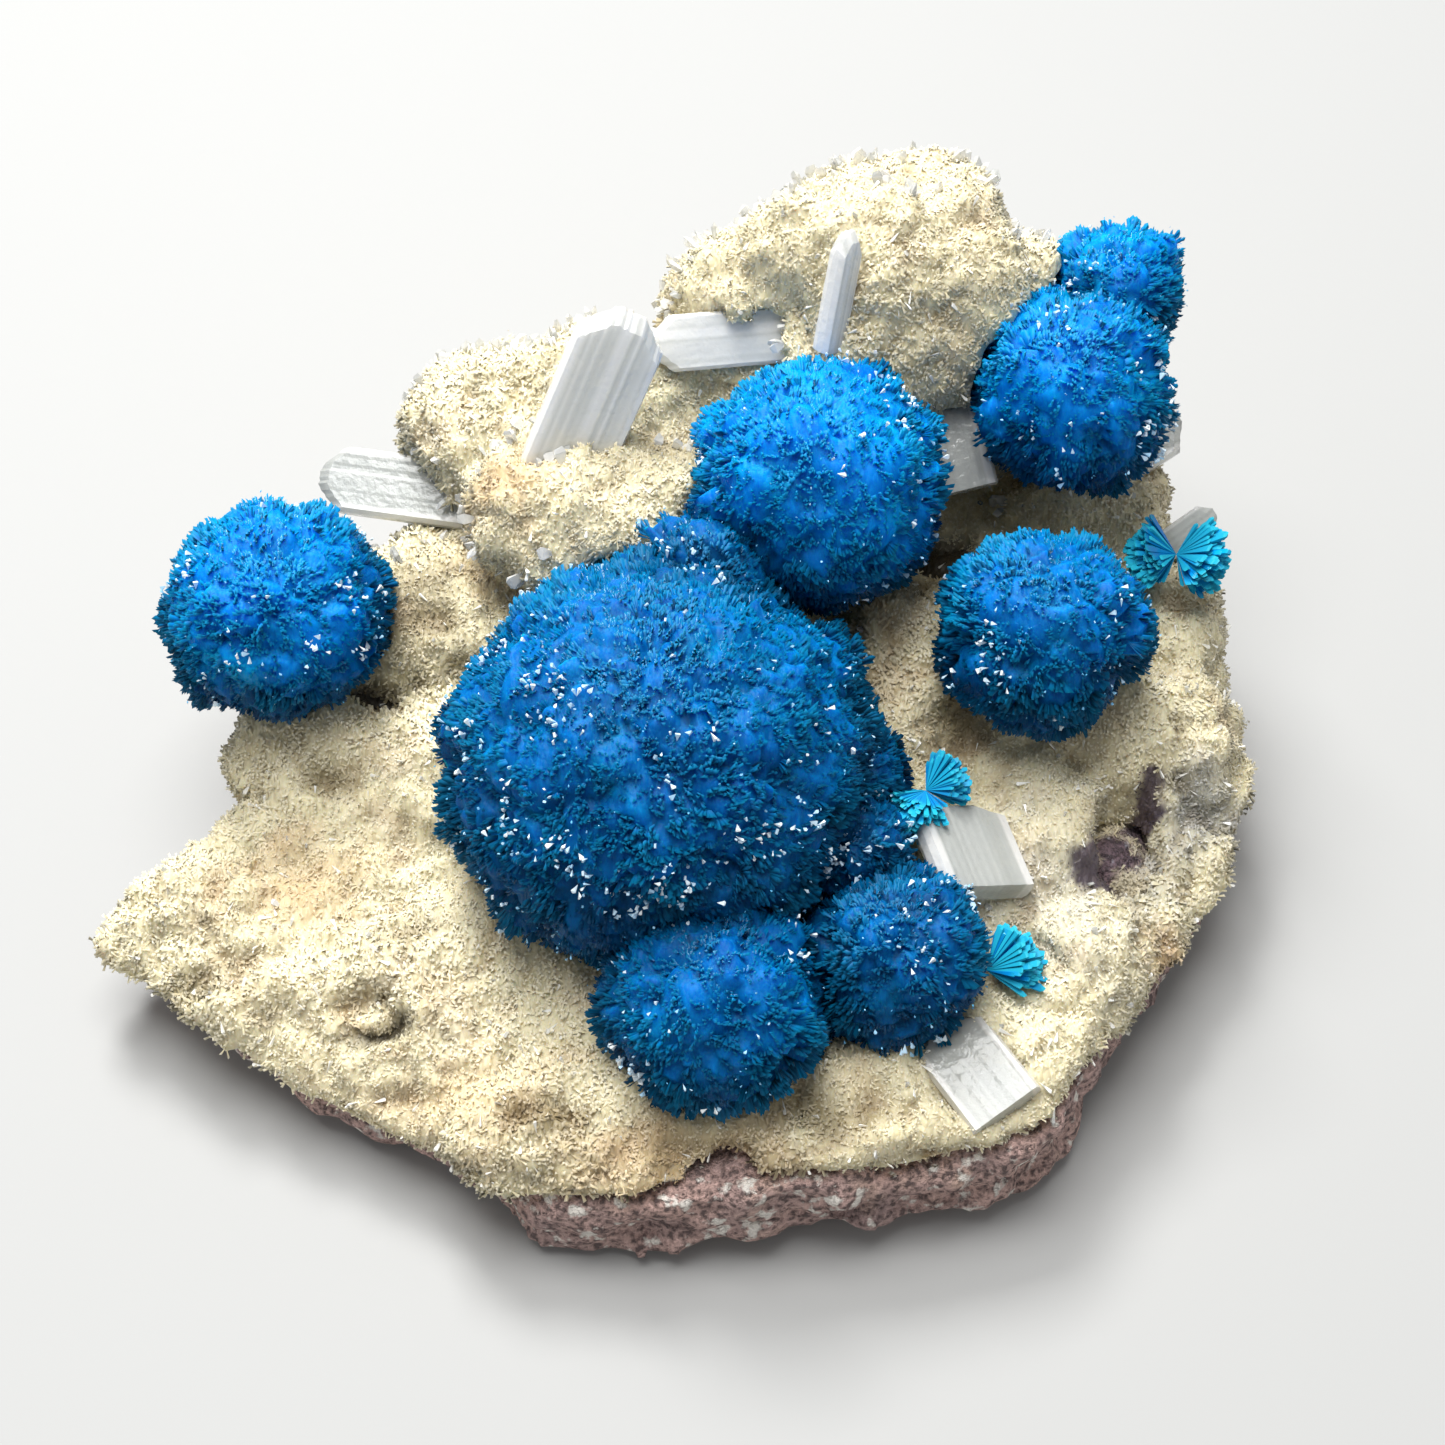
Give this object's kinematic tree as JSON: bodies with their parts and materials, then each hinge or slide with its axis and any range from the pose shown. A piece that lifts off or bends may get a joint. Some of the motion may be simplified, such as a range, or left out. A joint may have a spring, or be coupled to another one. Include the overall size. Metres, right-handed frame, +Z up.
{
  "type": "cavansite specimen",
  "caption": "Cavansite specimen: azure crystal balls and fans on a cream stilbite crust with clear blades, over basalt.",
  "frame": {"origin": "middle of the bounding box at the underside", "axes": "+Z up from the surface it rests on, +X to the right of a viewer in front, +Y away from that viewer"},
  "size_m": [0.0734, 0.0644, 0.0366],
  "materials": {
    "basalt": "rough",
    "druse": "glossy",
    "cavansite": "glossy",
    "stilbite": "glossy"
  },
  "bodies": {
    "root": {"basalt_matrix": "basalt", "stilbite_druse": "druse", "cavansite_cluster": "cavansite", "cavansite_ball_left": "cavansite", "cavansite_ball_upper": "cavansite", "cavansite_ball_double": "cavansite", "cavansite_ball_right": "cavansite", "cavansite_fan_right": "cavansite", "cavansite_fan_middle": "cavansite", "cavansite_fan_front": "cavansite", "stilbite_blade_left": "stilbite", "stilbite_blade_tall": "stilbite", "stilbite_blade_flat": "stilbite", "stilbite_blade_slim": "stilbite", "stilbite_blade_middle": "stilbite", "stilbite_blade_back_right": "stilbite", "stilbite_blade_side": "stilbite", "stilbite_blade_front": "stilbite", "stilbite_blade_tip": "stilbite"}
  },
  "joints": []
}
